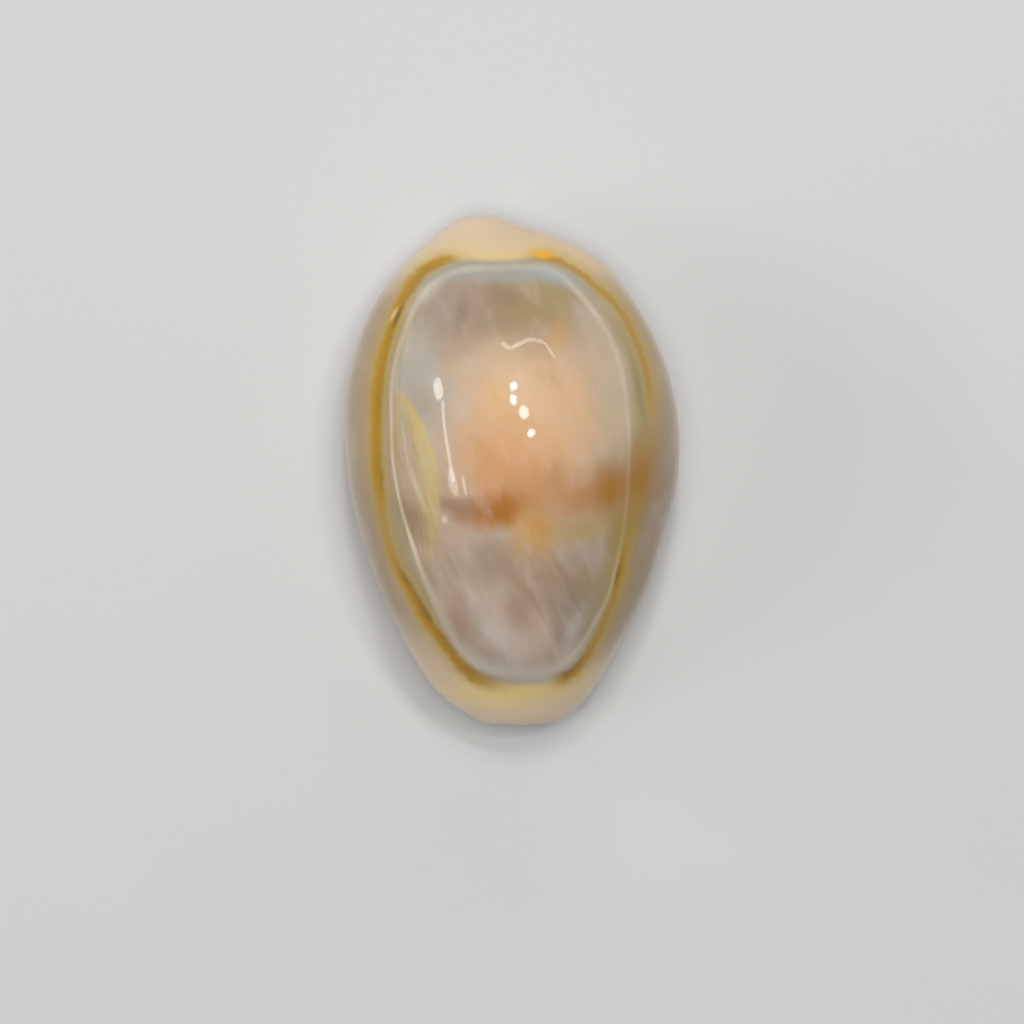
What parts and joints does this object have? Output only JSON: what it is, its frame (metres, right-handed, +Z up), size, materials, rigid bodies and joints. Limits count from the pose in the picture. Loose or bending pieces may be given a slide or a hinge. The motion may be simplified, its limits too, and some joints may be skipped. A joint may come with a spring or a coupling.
{
  "type": "cowrie shell",
  "caption": "Small ring cowrie shell, glossy and domed, with a gold ring round the back, a thick pale margin and a narrow toothed aperture along the flat base.",
  "frame": {"origin": "bottom centre of the bounding box, on the surface the shell rests on", "axes": "+Y towards the posterior (wide) end, +X towards the columellar side, +Z up through the back, away from the aperture"},
  "size_m": [0.0164, 0.025, 0.0123],
  "materials": {
    "enamel": "naturally polished shell enamel: grey-mauve and peach back with a brown-orange band, inside a gold-orange ring and a pale line, and a beige-cream callus margin and base"
  },
  "bodies": {
    "root": {"shell": "enamel"}
  },
  "joints": []
}
